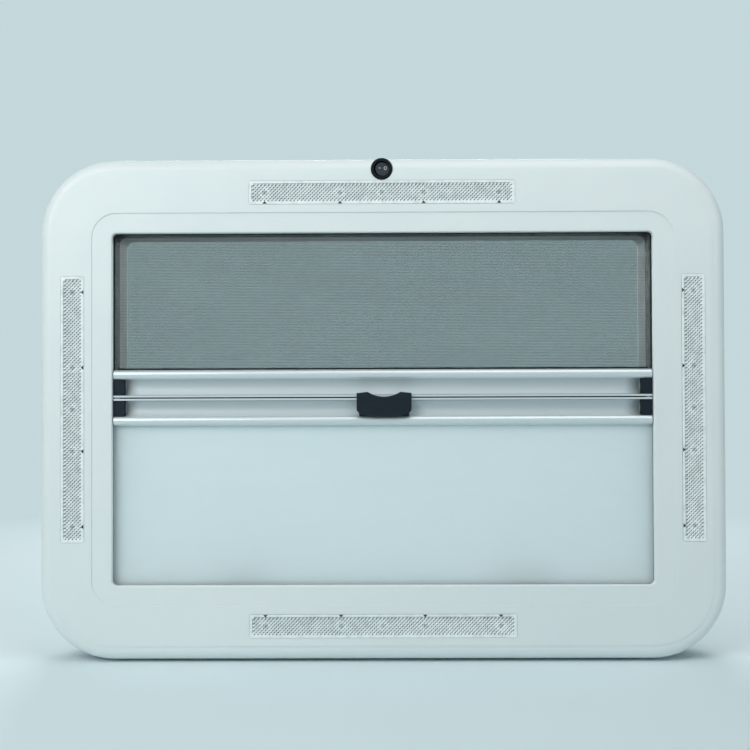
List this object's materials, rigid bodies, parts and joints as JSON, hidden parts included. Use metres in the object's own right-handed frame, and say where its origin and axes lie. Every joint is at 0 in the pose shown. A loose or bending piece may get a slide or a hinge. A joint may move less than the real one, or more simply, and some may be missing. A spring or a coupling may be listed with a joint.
{
  "type": "rv skylight",
  "caption": "Roof skylight for a caravan: white trim frame with light strips and a rocker switch, sliding fly screen and blind on aluminium pull bars, flanged outer frame and clear dome.",
  "frame": {"origin": "on the floor under the middle of the part, which stands on its long edge as in the picture; Y = 0 is the roof's outer skin, the room-side face of the flange", "axes": "+X to the right seen from the room, +Z up, +Y from the room to the outdoors; fitted in a roof, +Y points up"},
  "size_m": [0.74, 0.1145, 0.54],
  "materials": {
    "white_plastic": "satin",
    "clear_lens": "prismatic",
    "light_board": "matt",
    "black_plastic": "satin",
    "dark_plastic": "matt",
    "screen_mesh": "woven",
    "blind_fabric": "coated",
    "aluminium": "satin anodised",
    "rubber": "matt",
    "acrylic": "clear",
    "stay_metal": "satin"
  },
  "bodies": {
    "frame": {"inner_frame": "white_plastic", "outer_frame": "white_plastic", "roof_spigot": "white_plastic", "tunnel_liner": "white_plastic", "switch_housing": "black_plastic", "screen_cassette": "dark_plastic", "blind_cassette": "dark_plastic", "side_track_left": "dark_plastic", "side_track_right": "dark_plastic", "screen_roller": "dark_plastic", "blind_roller": "blind_fabric", "fly_screen": "screen_mesh", "blackout_blind": "blind_fabric", "dome_gasket": "rubber", "dome_inner_pane": "acrylic", "dome_outer_pane": "acrylic", "light_lens_top": "clear_lens", "light_board_top": "light_board", "light_lens_bottom": "clear_lens", "light_board_bottom": "light_board", "light_lens_left": "clear_lens", "light_board_left": "light_board", "light_lens_right": "clear_lens", "light_board_right": "light_board", "dome_hinge_left": "black_plastic", "dome_latch_left": "black_plastic", "dome_stay_left": "stay_metal", "dome_hinge_right": "black_plastic", "dome_latch_right": "black_plastic", "dome_stay_right": "stay_metal"},
    "screen_bar": {"screen_bar": "aluminium", "screen_bar_cap_left": "black_plastic", "screen_bar_cap_right": "black_plastic"},
    "blind_bar": {"blind_bar": "aluminium", "blind_bar_cap_left": "black_plastic", "blind_bar_cap_right": "black_plastic", "pull_handle": "black_plastic"},
    "switch_rocker": {"switch_rocker": "black_plastic"}
  },
  "joints": [
    {"name": "screen_slide", "type": "slide", "parent": "frame", "child": "screen_bar", "axis": [0, 0, 1], "range_m": [0, 0.14], "deforming": ["fly_screen"]},
    {"name": "blind_slide", "type": "slide", "parent": "frame", "child": "blind_bar", "axis": [0, 0, -1], "range_m": [0, 0.164], "deforming": ["blackout_blind"]},
    {"name": "switch_rock", "type": "hinge", "parent": "frame", "child": "switch_rocker", "pos_m": [0, -0.052, 0.5276], "axis": [0, 0, -1], "range_deg": [0, 16]}
  ]
}
